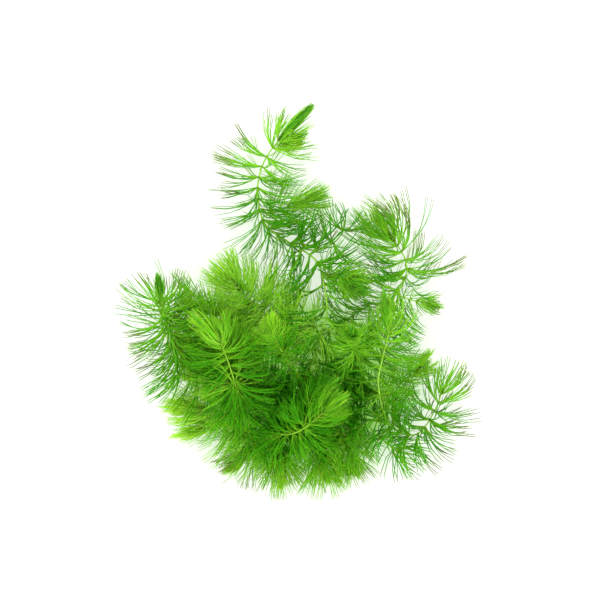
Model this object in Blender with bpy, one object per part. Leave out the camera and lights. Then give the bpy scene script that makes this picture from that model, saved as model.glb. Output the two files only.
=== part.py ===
"""A loose clump of hornwort, an aquarium plant, lying on a flat surface. Metres, +Z up.

The origin is on the surface, under the middle of the clump, whose longest side runs along Y.
Each shoot is a stem with whorls of leaves that fork once. Most shoots end in a growing tip,
a closed spindle of young leaves that are still folded. A long stem is split at its main forks.
"""

import math
import random

import bmesh
import bpy
import numpy as np

MM = 0.001

# Stems
STEM_RADIUS = 0.65 * MM
STEM_SIDES = 5
RING_LENGTH = 0.8 * MM  # the short ring of stem that a whorl of leaves grows from
JOIN_GAP = 0.3 * MM  # between two pieces that touch in the real plant
ROUTE_STEP = 0.25 * MM
LEANING = (0.2, 0.3, 0.9)  # a direction that no stem or tip runs along

# Whorls, by their distance from the growing end of the shoot
FIRST_WHORL = 1.4 * MM
FIRST_SPACING = 5.0 * MM
SPACING_GROWTH = 1.4
END_STRETCH = 1.2 * MM  # bare stem at the cut end
OPENING_AT = ((0.0, 24.0), (5.0, 46.0), (12.0, 62.0), (26.0, 74.0), (45.0, 84.0))  # mm, degrees

# Leaves
STALK_SHARE = 0.36
LEAF_CURL = math.radians(13.0)  # the stalk leans back by this much and the prongs lean forward
PRONG_SPREAD = math.radians(13.0)
FORK_HALF_WIDTH = 0.45 * MM
FORK_HALF_DEPTH = 0.32 * MM
LENGTH_RANGE = (0.93, 1.05)
FORK_REST = 0.46 * MM  # the height of a fork that lies on the surface, so that its faces stay above it
LEAST_REACH = 0.3  # the share of its length that a leaf pressed flat on the surface keeps at least

# How a leaf finds its stand: it keeps clear of all else by turning, and by growing shorter
LEAF_REACH_RADIUS = 0.38 * MM
LEAF_CLEARANCE = 0.3 * MM
SHORTEST_LEAF_SHARE = 0.4
SHORTER_BY = 0.15
TRIES_PER_LENGTH = 14
FIRST_LOOSENESS = 0.25  # the share of the swings below that the first try may take
SIDE_SWING = 0.4  # radians
OPENING_SWING = 0.35
ROLL_SWING = 1.2
LEAST_OPENING = 0.25
ROOM_STEP = 2.0 * MM
NO_SLACK = 1e-18  # two runs are parallel below this

# Growing tips
TIP_SIDES = 5
TIP_PROFILE = ((0.0, 0.30), (0.16, 0.72), (0.42, 1.0), (0.72, 0.62))  # share of length, of radius
TIP_RADIUS = 2.3 * MM
YOUNG_LEAF_REACH = 0.86  # how far up the spindle the outermost young leaves end

SEED = 7

# Every colour is linear RGB.
COLOURS = {
    "leaf": (0.075, 0.27, 0.022),
    "old_leaf": (0.035, 0.15, 0.018),
    "young_tip": (0.16, 0.42, 0.04),
}

# The clump's middle, in the millimetres that the routes below are stated in
MIDDLE = (1.1, 0.9)

# Each shoot's route runs from where it grows out to where its growing tip starts, as (x, y, z)
# in millimetres: x to the right and y up in the view from above, z the height of its axis.
# "on" is the stem that it grows from, at its side or its end, where its route then starts.
# "tip" is the far end of its growing tip. A shoot that lies "behind" its growing end by some
# millimetres is an old stretch of stem, with its whorls wide apart and its leaves fully open.
SHOOTS = {
    "north_stem": {
        "route": [(3, -41, 13), (9, -24, 17), (14, -6, 20), (11, 13, 19), (4, 20, 16), (-3, 24, 14)],
        "behind": 45.0,
        "spacing": 14.0,
    },
    "north": {
        "on": "north_stem",
        "route": [(-3, 24, 14), (-12, 31, 12), (-15, 41, 12), (-15, 50, 12), (-12, 59, 12), (-6, 67.5, 13)],
        "tip": (9, 82.5, 15),
        "spacing": 7.6,
    },
    "north_twin": {
        "on": "north",
        "route": [(-9, 63.6, 12.4), (-4, 65, 15)],
        "tip": (7, 70, 17),
        "tip_radius": 1.6,
        "leaf": 15.0,
    },
    "north_inner": {
        "on": "north",
        "route": [(-13.3, 34, 12), (-5, 38, 10), (5, 41, 9.5)],
        "tip": (16, 45, 10),
        "leaf": 18.0,
    },
    "arched": {
        "on": "north_stem",
        "route": [(2, 21.6, 15), (8, 20, 13), (14, 21.5, 13), (21, 27, 14), (22.5, 35, 14), (26, 43, 13)],
        "leaf": 15.0,
        "spacing": 9.5,
        "colour": "old_leaf",
    },
    "middle": {
        "on": "north_stem",
        "route": [(12.7, 9, 19.6), (17, 9, 25), (22, 7, 30)],
        "tip": (32, 2, 41),
    },
    "crown": {
        "on": "north_stem",
        "route": [(4, -38, 14), (1, -31, 24), (-4, -24, 33), (-8, -15.5, 43)],
        "tip": (-9, -3, 58),
    },
    "northwest": {
        "on": "north_stem",
        "route": [(12.9, -11, 19.5), (6, -13, 15), (-6, -9, 12.5), (-18, -1, 12), (-26, 7, 12)],
        "tip": (-37, 17, 12),
        "leaf": 18.0,
    },
    "northeast_stem": {
        "route": [(24, -38, 12), (32, -21, 14), (40, -3, 16), (46, 5, 17)],
        "behind": 45.0,
        "spacing": 14.0,
    },
    "northeast": {
        "on": "northeast_stem",
        "route": [(46, 5, 17), (48, 11, 18), (46.5, 18, 18), (41, 26, 18)],
        "tip": (32, 39, 19),
        "leaf": 17.5,
        "spacing": 6.5,
    },
    "northeast_twig": {
        "on": "northeast_stem",
        "route": [(43.5, 1.5, 16.5), (50, -1, 13), (57, -2.5, 11)],
        "tip": (65, -4.5, 11),
        "tip_radius": 1.4,
        "leaf": 13.0,
        "spacing": 6.6,
    },
    "peak": {
        "on": "northeast_stem",
        "route": [(29, -28, 13), (27, -25, 22), (25.5, -21.5, 33), (24.5, -17, 42)],
        "tip": (23.5, -12, 57),
        "spacing": 12.0,
    },
    "east_stem": {
        "route": [(8, -61, 14), (21, -57, 16), (32, -53, 18), (38, -49, 20)],
        "behind": 45.0,
        "spacing": 14.0,
    },
    "east": {
        "on": "east_stem",
        "route": [(38, -49, 20), (36, -40, 25), (35.5, -34, 28), (37, -26, 31.5), (40, -13.5, 36)],
        "tip": (37, 5, 41),
    },
    "far_east": {
        "on": "east_stem",
        "route": [(36, -50.6, 19.2), (47, -58, 15), (54, -57, 14), (60, -48, 14), (63, -40, 16)],
        "tip": (67, -29, 25),
        "tip_radius": 1.7,
        "leaf": 15.5,
        "spacing": 8.4,
    },
    "east_side": {
        "on": "east",
        "route": [(36.3, -42, 24), (42, -39, 18), (48, -34, 17), (53, -30, 17)],
        "tip": (60, -21, 20),
        "leaf": 16.0,
    },
    "southeast": {
        "on": "east_stem",
        "route": [(31, -53.4, 17.7), (36, -59, 14), (41, -63, 12), (46, -66, 10)],
        "leaf": 18.0,
        "spacing": 7.6,
    },
    "west_stem": {
        "route": [(3, -57, 10), (-7, -61, 12), (-14, -61, 16), (-19, -57, 20)],
        "behind": 45.0,
        "spacing": 14.0,
    },
    "west": {
        "on": "west_stem",
        "route": [(-19, -57, 20), (-22, -46, 27), (-24, -37, 32), (-27, -27, 36), (-30, -18.5, 40)],
        "tip": (-44, -5, 45),
    },
    "west_middle": {
        "on": "west",
        "route": [(-24, -37, 32), (-29, -35, 25), (-35, -33.5, 21)],
        "tip": (-50, -33.5, 20),
        "leaf": 17.0,
    },
    "west_lowest": {
        "on": "west_stem",
        "route": [(-17, -59, 18.6), (-27, -56, 11), (-37, -55.5, 9)],
        "tip": (-54, -60, 9),
        "leaf": 16.0,
    },
    "far_west": {
        "route": [(-22, -49, 14), (-34, -40, 14), (-43, -31, 14), (-49, -22, 15), (-54, -11, 18), (-56, -1, 23)],
        "tip": (-56.5, 10.5, 37),
        "spacing": 8.4,
    },
    "west_low": {
        "on": "far_west",
        "route": [(-25, -47, 14), (-32, -48.5, 11.5), (-41, -47, 11)],
        "tip": (-59, -46.5, 12),
        "leaf": 17.0,
    },
    "south": {
        "on": "west_stem",
        "route": [(-15, -61.5, 17), (-8, -58, 25), (-1, -57, 31), (5, -54, 35.5), (12.5, -47.5, 40)],
        "tip": (24, -39, 44),
    },
    "south_twin": {
        "on": "south",
        "route": [(4, -54.6, 35), (7, -46, 33), (12, -40, 33)],
        "tip": (21, -32, 37),
        "tip_radius": 1.8,
        "leaf": 17.0,
    },
    "southwest": {
        "on": "west_stem",
        "route": [(-12, -61.2, 14.8), (-17, -66, 11), (-21, -69, 10.5)],
        "tip": (-31, -76, 9),
        "leaf": 15.0,
        "spacing": 6.6,
    },
    "south_fringe": {
        "on": "west_stem",
        "route": [(-5, -60.4, 11.4), (-6.5, -66, 11), (-6, -70, 10.5)],
        "tip": (-4.5, -83, 9),
        "leaf": 14.0,
        "spacing": 6.6,
    },
    "south_middle": {
        "on": "east_stem",
        "route": [(11, -60.3, 14.4), (12, -66, 12), (12.5, -70, 12)],
        "tip": (15, -81, 10),
        "tip_radius": 1.9,
        "leaf": 14.0,
        "spacing": 6.6,
    },
    "south_corner": {
        "on": "east_stem",
        "route": [(21, -57, 16), (23, -64, 12.5), (24.5, -68, 11.5)],
        "tip": (28, -79, 9),
        "tip_radius": 1.7,
        "leaf": 14.0,
        "spacing": 6.6,
    },
    "core_south": {
        "route": [(-10, -50, 9), (2, -49, 9), (14, -47, 9), (26, -44, 9), (36, -40, 9)],
        "behind": 45.0,
        "spacing": 17.0,
    },
    "core_north": {
        "route": [(-18, -18, 8), (-8, -20, 9), (6, -19, 9), (20, -11, 9), (34, -2, 10)],
        "behind": 45.0,
        "spacing": 17.0,
    },
    "core_west": {
        "route": [(-10, -36, 9), (-20, -33, 9), (-29, -25, 9), (-34, -14, 9), (-33, -4, 9)],
        "behind": 45.0,
        "spacing": 17.0,
    },
}
SPACING = 9.6  # mm between whorls, unless the shoot says otherwise
LEAF_LENGTH = 20.0  # mm, unless the shoot says otherwise


def smooth_route(points):
    """A smooth curve through the points, as close-set places along it."""
    points = np.array(points, float)
    ends = np.vstack([2 * points[0] - points[1], points, 2 * points[-1] - points[-2]])
    places = []
    for before, start, end, after in zip(ends, ends[1:], ends[2:], ends[3:]):
        steps = max(2, int(np.linalg.norm(end - start) / ROUTE_STEP))
        for share in np.arange(steps) / steps:
            slope_in = (end - before) / 2
            slope_out = (after - start) / 2
            rest = 1 - share
            places.append(
                start * (1 + 2 * share) * rest**2
                + slope_in * share * rest**2
                + end * (3 - 2 * share) * share**2
                - slope_out * rest * share**2
            )
    return np.array(places + [points[-1]])


def clear_start(places, carrier):
    """How many places of a stem to pass over before its cut end clears the stem that it grows from."""
    carrier_steps = np.diff(carrier, axis=0)
    lengths = np.linalg.norm(carrier_steps, axis=1)
    carrier_steps /= lengths[:, None]
    for first in range(len(places) - 1):
        along = places[first + 1] - places[first]
        along /= np.linalg.norm(along)
        side = np.cross(along, LEANING)
        side /= np.linalg.norm(side)
        other = np.cross(along, side)
        nearest = []
        for turn in np.linspace(0, 2 * math.pi, 2 * STEM_SIDES, endpoint=False):
            edge = places[first] + STEM_RADIUS * (math.cos(turn) * side + math.sin(turn) * other)
            apart = edge - carrier[:-1]
            ahead = np.einsum("ij,ij->i", apart, carrier_steps)
            out = np.linalg.norm(apart - ahead[:, None] * carrier_steps, axis=1) - STEM_RADIUS
            past = np.maximum(ahead - lengths, -ahead)
            nearest.append(np.hypot(np.maximum(out, 0), np.maximum(past, 0)).min())
        if min(nearest) > JOIN_GAP:
            return first
    return 0


class Route:
    """A stem's axis, read by the distance from its base."""

    def __init__(self, points, carrier=None):
        self.places = smooth_route(points)
        if carrier is not None:
            self.places = self.places[clear_start(self.places, carrier.places) :]
        steps = np.linalg.norm(np.diff(self.places, axis=0), axis=1)
        self.distances = np.concatenate([[0.0], np.cumsum(steps)])
        self.length = self.distances[-1]
        side = np.cross(self.along(0.0), (0.0, 0.0, 1.0))
        self.sides = [side / np.linalg.norm(side)]
        for distance in self.distances[1:]:
            along = self.along(distance)
            side = self.sides[-1] - along * np.dot(self.sides[-1], along)
            self.sides.append(side / np.linalg.norm(side))
        self.sides = np.array(self.sides)

    def at(self, distance):
        return np.array([np.interp(distance, self.distances, self.places[:, axis]) for axis in range(3)])

    def along(self, distance):
        step = self.at(min(distance + ROUTE_STEP, self.length)) - self.at(max(distance - ROUTE_STEP, 0.0))
        return step / np.linalg.norm(step)

    def outward(self, distance, angle):
        """The direction straight out from the axis, turned round it by the angle."""
        along = self.along(distance)
        side = np.array([np.interp(distance, self.distances, self.sides[:, axis]) for axis in range(3)])
        side -= along * np.dot(side, along)
        side /= np.linalg.norm(side)
        return math.cos(angle) * side + math.sin(angle) * np.cross(along, side)


class Room:
    """The space that stems, tips and leaves take already, as straight runs with a radius."""

    def __init__(self):
        self.runs = []
        self.table = None

    def add(self, start, end, radius, owner):
        self.runs.append((start, end, radius, owner))
        self.table = None

    def is_free(self, start, end, radius, beside=()):
        """Whether a run keeps its clearance to every run but those of the owners that it starts beside."""
        if self.table is None:
            starts, ends, radii, owners = zip(*self.runs)
            self.table = np.array(starts), np.array(ends), np.array(radii), np.array(owners)
        starts, ends, radii, owners = self.table
        gaps = run_distance(start, end, starts, ends) - radii - radius
        return bool((gaps[~np.isin(owners, beside)] > LEAF_CLEARANCE).all())


def run_distance(start, end, starts, ends):
    """The shortest distance from one straight run to each of many others."""
    first = end - start
    others = ends - starts
    between = start - starts
    first_square = np.dot(first, first)
    other_squares = np.einsum("ij,ij->i", others, others)
    across = others @ first
    first_lean = between @ first
    other_lean = np.einsum("ij,ij->i", others, between)
    slack = first_square * other_squares - across**2
    meeting = (across * other_lean - first_lean * other_squares) / np.maximum(slack, NO_SLACK)
    on_first = np.clip(np.where(slack > NO_SLACK, meeting, 0), 0, 1)
    on_other = np.clip((across * on_first + other_lean) / other_squares, 0, 1)
    on_first = np.clip((across * on_other - first_lean) / first_square, 0, 1)
    nearest = start + on_first[:, None] * first
    nearest_other = starts + on_other[:, None] * others
    return np.linalg.norm(nearest - nearest_other, axis=1)


def rest_on_surface(start, end, rest):
    """The end of a run, laid along the surface where the run would pass below it."""
    if end[2] >= rest:
        return end
    length = np.linalg.norm(end - start)
    drop = start[2] - rest
    flat = (end - start)[:2]
    reach = math.sqrt(max(length**2 - drop**2, (LEAST_REACH * length) ** 2))
    flat = flat / max(np.linalg.norm(flat), 1e-9) * reach
    return np.array([start[0] + flat[0], start[1] + flat[1], rest])


class Leaf:
    """A leaf's fork and its two points, worked out from how it stands on its stem."""

    def __init__(self, base, along, outward, opening, length, roll):
        back = opening + LEAF_CURL
        forward = opening - LEAF_CURL
        stalk = math.cos(back) * along + math.sin(back) * outward
        ahead = math.cos(forward) * along + math.sin(forward) * outward
        across = np.cross(along, outward)
        inner = np.cross(ahead, across)
        spread = math.cos(roll) * across + math.sin(roll) * inner
        self.base = base
        self.fork = rest_on_surface(base, base + stalk * length * STALK_SHARE, FORK_REST)
        self.points = []
        for side in (1, -1):
            prong = math.cos(PRONG_SPREAD) * ahead + side * math.sin(PRONG_SPREAD) * spread
            end = self.fork + prong * length * (1 - STALK_SHARE)
            self.points.append(rest_on_surface(self.fork, end, 0.0))
        self.wide = self.points[0] - self.points[1]
        self.wide /= np.linalg.norm(self.wide)
        lead = (self.points[0] + self.points[1]) / 2 - base
        self.deep = np.cross(lead / np.linalg.norm(lead), self.wide)

    def runs(self):
        return [(self.base, self.fork), (self.fork, self.points[0]), (self.fork, self.points[1])]


def opening_at(distance):
    """How far a leaf has opened from the stem, in radians, by its distance from the growing end."""
    places = [place * MM for place, _ in OPENING_AT]
    return math.radians(np.interp(distance, places, [angle for _, angle in OPENING_AT]))


def whorl_places(length, spacing, behind):
    """Distances from the base at which whorls stand, closer together towards a growing end."""
    places = []
    from_end = FIRST_WHORL if behind == 0 else spacing / 2
    step = min(FIRST_SPACING, spacing) if behind == 0 else spacing
    while from_end < length - END_STRETCH:
        places.append(length - from_end)
        from_end += step
        step = min(step * SPACING_GROWTH, spacing)
    return places[::-1]


class Shoot:
    """A stem with its route, its whorls and, once grow_leaves has run, its leaves."""

    def __init__(self, name, spec, grown):
        self.name = name
        middle = np.array([*MIDDLE, 0.0])
        carrier = grown[spec["on"]].route if "on" in spec else None
        self.route = Route((np.array(spec["route"]) - middle) * MM, carrier)
        self.tip = (np.array(spec["tip"]) - middle) * MM if "tip" in spec else None
        self.tip_radius = spec["tip_radius"] * MM if "tip_radius" in spec else TIP_RADIUS
        self.leaf_length = spec.get("leaf", LEAF_LENGTH) * MM
        self.colour = spec.get("colour", "leaf")
        self.behind = spec.get("behind", 0.0) * MM
        self.whorls = whorl_places(self.route.length, spec.get("spacing", SPACING) * MM, self.behind)
        self.leaves = {}

    def ring_angle(self, whorl):
        """Each whorl is turned against the one before, so that leaves stand over gaps."""
        return whorl * math.pi / STEM_SIDES

    def take_room(self, room):
        steps = np.linspace(0.0, self.route.length, max(2, round(self.route.length / ROOM_STEP)))
        for start, end in zip(steps, steps[1:]):
            room.add(self.route.at(start), self.route.at(end), STEM_RADIUS, self.name)
        if self.tip is None:
            return
        foot = self.tip_foot()
        for (low, low_size), (high, high_size) in zip(TIP_PROFILE, TIP_PROFILE[1:] + ((1.0, 0.0),)):
            radius = max(low_size, high_size) * self.tip_radius
            start = foot + (self.tip - foot) * low
            end = foot + (self.tip - foot) * high
            room.add(start, end, radius, self.name)

    def tip_foot(self):
        end = self.route.at(self.route.length)
        along = self.tip - end
        return end + along / np.linalg.norm(along) * JOIN_GAP

    def grow_leaves(self, room, chance):
        """Finds each leaf a stand that keeps clear of everything else, or a shorter one, or none."""
        face_middle = STEM_RADIUS * math.cos(math.pi / STEM_SIDES)
        for whorl, distance in enumerate(self.whorls):
            along = self.route.along(distance)
            opening = opening_at(self.route.length - distance + self.behind)
            for face in range(STEM_SIDES):
                angle = self.ring_angle(whorl) + (face + 0.5) * 2 * math.pi / STEM_SIDES
                base = self.route.at(distance) + self.route.outward(distance, angle) * face_middle
                leaf = self.find_leaf(room, chance, whorl, base, along, angle, opening)
                if leaf is None:
                    continue
                self.leaves[whorl, face] = leaf
                stalk, *prongs = leaf.runs()
                room.add(*stalk, LEAF_REACH_RADIUS, self.whorl_name(whorl))
                for prong in prongs:
                    room.add(*prong, LEAF_REACH_RADIUS, "leaf")

    def whorl_name(self, whorl):
        return f"{self.name} whorl {whorl}"

    def find_leaf(self, room, chance, whorl, base, along, angle, opening):
        distance = self.whorls[whorl]
        length = self.leaf_length * chance.uniform(*LENGTH_RANGE)
        share = 1.0
        while share >= SHORTEST_LEAF_SHARE:
            for attempt in range(TRIES_PER_LENGTH):
                loose = FIRST_LOOSENESS + attempt / TRIES_PER_LENGTH
                turned = angle + loose * chance.uniform(-SIDE_SWING, SIDE_SWING)
                stand = max(LEAST_OPENING, opening + loose * chance.uniform(-OPENING_SWING, OPENING_SWING))
                roll = loose * chance.uniform(-ROLL_SWING, ROLL_SWING)
                leaf = Leaf(base, along, self.route.outward(distance, turned), stand, length * share, roll)
                if self.leaf_is_free(room, leaf, whorl):
                    return leaf
            share -= SHORTER_BY
        return None

    def leaf_is_free(self, room, leaf, whorl):
        """A stalk starts on its own stem beside its whorl's other stalks, so it isn't tested on those."""
        stalk, *prongs = leaf.runs()
        beside = (self.name, self.whorl_name(whorl))
        if not room.is_free(*stalk, LEAF_REACH_RADIUS, beside):
            return False
        return all(room.is_free(*prong, LEAF_REACH_RADIUS) for prong in prongs)


def material(name):
    made = bpy.data.materials.new(name)
    made.use_nodes = True
    shader = made.node_tree.nodes["Principled BSDF"]
    shader.inputs["Base Color"].default_value = (*COLOURS[name], 1.0)
    shader.inputs["Roughness"].default_value = 0.5
    shader.inputs["Metallic"].default_value = 0.0
    made.diffuse_color = (*COLOURS[name], 1.0)
    return made


def finished_object(name, bm, colour):
    mesh = bpy.data.meshes.new(name)
    bm.to_mesh(mesh)
    bm.free()
    mesh.materials.append(colour)
    mesh.shade_smooth()
    mesh.set_sharp_from_angle(angle=math.radians(50))
    made = bpy.data.objects.new(name, mesh)
    bpy.context.scene.collection.objects.link(made)
    return made


def ring(bm, centre, directions, radius):
    return [bm.verts.new(centre + direction * radius) for direction in directions]


def join_rings(bm, lower, upper):
    count = len(lower)
    return [
        bm.faces.new((lower[k], lower[(k + 1) % count], upper[(k + 1) % count], upper[k]))
        for k in range(count)
    ]


def grow_leaf(bm, face, corners, leaf):
    """Pulls a leaf out of one face of a stem's ring: its stalk, then a prong from each half of its end."""
    grown = bmesh.ops.extrude_discrete_faces(bm, faces=[face])["faces"][0]
    offsets = [
        -leaf.deep * FORK_HALF_DEPTH,
        leaf.wide * FORK_HALF_WIDTH,
        leaf.deep * FORK_HALF_DEPTH,
        -leaf.wide * FORK_HALF_WIDTH,
    ]
    middle = sum(corners) / len(corners)

    def untwisted(shift):
        return sum(np.dot(corner - middle, offsets[(k + shift) % 4]) for k, corner in enumerate(corners))

    # The stalk's end is the diamond of these offsets, turned to the corners that it twists least from.
    shift = max(range(4), key=untwisted)
    places = {}
    for vert in grown.verts:
        corner = min(range(4), key=lambda k: np.linalg.norm(np.array(vert.co) - corners[k]))
        places[(corner + shift) % 4] = vert
    for place, vert in places.items():
        vert.co = leaf.fork + offsets[place]
    split = bmesh.utils.face_split(grown, places[0], places[2])[0]
    for half in (grown, split):
        side = np.dot(np.array(half.calc_center_median()) - leaf.fork, leaf.wide)
        prong = leaf.points[0] if side > 0 else leaf.points[1]
        bmesh.ops.poke(bm, faces=[half])["verts"][0].co = prong


def build_shoot(shoot, colours):
    bm = bmesh.new()
    route = shoot.route
    turns = [k * 2 * math.pi / STEM_SIDES for k in range(STEM_SIDES)]

    def stem_ring(distance, angle):
        directions = [route.outward(distance, angle + turn) for turn in turns]
        return ring(bm, route.at(distance), directions, STEM_RADIUS)

    first = stem_ring(0.0, shoot.ring_angle(0))
    bm.faces.new(first[::-1])
    below = first
    leaf_faces = []
    for whorl, distance in enumerate(shoot.whorls):
        angle = shoot.ring_angle(whorl)
        low = stem_ring(distance - RING_LENGTH / 2, angle)
        high = stem_ring(distance + RING_LENGTH / 2, angle)
        join_rings(bm, below, low)
        faces = join_rings(bm, low, high)
        for face, grown in enumerate(faces):
            if (whorl, face) in shoot.leaves:
                corners = [np.array(vert.co) for vert in grown.verts]
                leaf_faces.append((grown, corners, shoot.leaves[whorl, face]))
        below = high
    last = stem_ring(route.length, shoot.ring_angle(len(shoot.whorls) - 1))
    join_rings(bm, below, last)
    bm.faces.new(last)
    for face, corners, leaf in leaf_faces:
        grow_leaf(bm, face, corners, leaf)
    suffix = "" if shoot.name.endswith("stem") else "_shoot"
    finished_object(shoot.name + suffix, bm, colours[shoot.colour])


def build_tip(shoot, colours):
    """A spindle whose upper panels are pulled out into the points of its outermost young leaves."""
    bm = bmesh.new()
    foot = shoot.tip_foot()
    along = shoot.tip - foot
    side = np.cross(along, LEANING)
    side /= np.linalg.norm(side)
    other = np.cross(along / np.linalg.norm(along), side)
    turns = [k * 2 * math.pi / TIP_SIDES for k in range(TIP_SIDES)]
    directions = [math.cos(turn) * side + math.sin(turn) * other for turn in turns]
    rings = [
        ring(bm, foot + along * share, directions, size * shoot.tip_radius)
        for share, size in TIP_PROFILE
    ]
    bm.faces.new(rings[0][::-1])
    panels = [join_rings(bm, lower, upper) for lower, upper in zip(rings, rings[1:])]
    top = bm.faces.new(rings[-1])
    bmesh.ops.poke(bm, faces=[top])["verts"][0].co = shoot.tip
    for panel in panels[-1]:
        middle = np.array(panel.calc_center_median())
        outward = middle - foot - along * np.dot(middle - foot, along) / np.dot(along, along)
        outward /= np.linalg.norm(outward)
        young = bmesh.ops.poke(bm, faces=[panel])["verts"][0]
        young.co = foot + along * YOUNG_LEAF_REACH + outward * shoot.tip_radius
    finished_object(shoot.name + "_tip", bm, colours["young_tip"])


def main():
    for old in list(bpy.data.objects):
        bpy.data.objects.remove(old, do_unlink=True)
    colours = {name: material(name) for name in COLOURS}
    shoots = {}
    for name, spec in SHOOTS.items():
        shoots[name] = Shoot(name, spec, shoots)
    room = Room()
    for shoot in shoots.values():
        shoot.take_room(room)
    chance = random.Random(SEED)
    for shoot in shoots.values():
        shoot.grow_leaves(room, chance)
        build_shoot(shoot, colours)
        if shoot.tip is not None:
            build_tip(shoot, colours)


main()
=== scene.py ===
"""The looks of a loose clump of hornwort, an aquarium plant, lying on a pale floor.

Each shoot is a jointed stalk with whorls of fine forked leaves. Most end in a growing tip, which is
a closed spindle or a loose brush of young leaves. A few leaves, a stretch of stalk and the heart of
a growing tip are modelled, and copies of them are bent along the shoots' routes and joined into one
mesh for each piece.
"""

import math

import bmesh
import bpy
import numpy as np
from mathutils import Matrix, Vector


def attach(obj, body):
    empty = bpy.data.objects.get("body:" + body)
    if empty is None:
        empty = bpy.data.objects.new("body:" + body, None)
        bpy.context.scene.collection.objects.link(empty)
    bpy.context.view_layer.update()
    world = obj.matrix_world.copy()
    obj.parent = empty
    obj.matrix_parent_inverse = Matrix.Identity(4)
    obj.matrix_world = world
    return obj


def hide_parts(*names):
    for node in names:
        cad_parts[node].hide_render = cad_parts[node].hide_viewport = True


MM = 0.001
SEED = 11

# Leaves, as modelled at this length and bent and scaled afterwards
MODEL_LENGTH = 20.0 * MM
STALK_SIZE = (0.48, 0.38)  # mm, width and depth
BRANCH_SIZE = (0.36, 0.31)
PRONG_SIZE = (0.22, 0.20)
STALK_WAIST = 0.85  # halfway up the stalk, times its size at the foot
STALK_FORK = 1.15  # how wide the stalk is where it forks, times its width at the foot
BRANCH_FORK = 1.1
PRONG_STEPS = (0.36, 0.46, 0.18)  # from the fork to the point, as shares of the length left
PRONG_WAIST = 0.8  # at the foot of the last step, times the size of the prong

# The plans of the leaves: where the stalk ends, and what it forks into. A branch is its sideways
# lean, where it ends along the leaf, and the leans of the prongs that it forks into. A branch
# with no prongs runs on as a prong itself.
LEAF_PLANS = {
    "full_leaf": (0.20, [(0.15, 0.44, (0.17, 0.01)), (-0.14, 0.38, (0.0, -0.17))]),
    "wide_leaf": (0.17, [(0.22, 0.36, (0.25, 0.07)), (-0.22, 0.44, (-0.06, -0.25))]),
    "long_stalked_leaf": (0.34, [(0.13, 0.56, (0.15, 0.0)), (-0.13, 0.62, (0.0, -0.15))]),
    "half_forked_leaf": (0.24, [(0.13, 0.50, (0.15, 0.0)), (-0.12, 0.0, ())]),
    "once_forked_leaf": (0.28, [(0.11, 0.0, ()), (-0.11, 0.0, ())]),
}
YOUNG_PLAN = (0.55, [(0.05, 0.0, ()), (-0.05, 0.0, ())])

# How the leaves stand, by the distance from the growing end of the shoot
OPENING_AT = ((0.0, 25.0), (4.0, 50.0), (9.0, 72.0), (20.0, 88.0), (40.0, 98.0))  # mm, degrees
LENGTH_AT = ((0.0, 0.72), (5.0, 0.9), (12.0, 1.0))  # mm, share of the leaf's grown length
SWEPT_AT = 20.0 * MM  # where the leaves lean back in full
FIRST_WHORL = 1.0 * MM  # from the growing end to the first whorl
LAST_WHORL = 1.0 * MM  # from the foot of the stalk, the nearest that a whorl stands
SPACING_GROWTH = 1.28  # from one gap between whorls to the next, until the spacing is grown
PARTING_CLOSES = 1.3  # times the stretch with a parting: where the parting has closed
THINNED_SHARE = 0.4  # share of the leaves that a thinned whorl keeps
SPARSE_SHARE = 0.6  # share of the leaves that stay on the sparse side of a shoot
SPARSE_FROM = 0.2  # how squarely a leaf faces the sparse side to count as on it, a cosine
GAP_CROSSINGS = 0.15  # share of the leaves across an opening that stay
CLEAR = (8.0, 15.0)  # mm to the nearest other shoot where leaf ends begin to dry, and are dry
LIGHTER_UNTIL = 0.35  # share of the stretch over which leaves darken, up to which a leaf is lighter than its shoot's value

# How much the leaves differ: the least and the most, or one standard deviation
LENGTH_RANGE = (0.72, 1.1)  # share of the shoot's leaf length
DRYNESS_RANGE = (0.45, 1.15)  # share of the shoot's dryness
TURN_RANGE = (-0.1, 0.1)  # radians, of a whorl off the gaps in the whorl before it
ANGLE_RANGE = (-0.22, 0.22)  # radians, of a leaf round the stalk
LEAN_SPREAD = 0.08  # radians, of a whole whorl's opening
OPENING_SPREAD = 0.16  # radians, of a leaf's opening
SWAY_SPREAD = 0.42  # radians, of a leaf's sideways curl
FRESH_SPREAD = 0.1
LEAF_ROLL = 0.9  # radians from level, a standard deviation: out of water the forks lie down flat

LEAF_STEPS = 9
LEAF_ROOT = 0.7  # share of the stalk's radius at which leaves begin
CURL_BEGINS = 0.4  # share of the leaf at which it stands at its opening, and wider before that
STALK_RADIUS = 0.37 * MM
STALK_SIDES = 8
STALK_GIRTH_AT = ((0.0, 8.0 * MM, 40.0 * MM), (0.7, 0.85, 1.15))  # by distance from the end
STALK_PROFILE = ((0.1, 1.05), (0.25, 0.92), (0.75, 0.9), (0.9, 1.02), (1.0, 1.22))  # height, girth
INTERNODE = 1.0 * MM  # the height that a stretch of stalk is modelled at
STALK_STEP = 1.5 * MM  # between the places that a stalk is bent through
SHORTEST_INTERNODE = 0.1 * MM
FLOOR_REST = 0.35 * MM  # the height of the middle of a leaf that lies on the floor
ROUTE_STEP = 0.5 * MM

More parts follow.
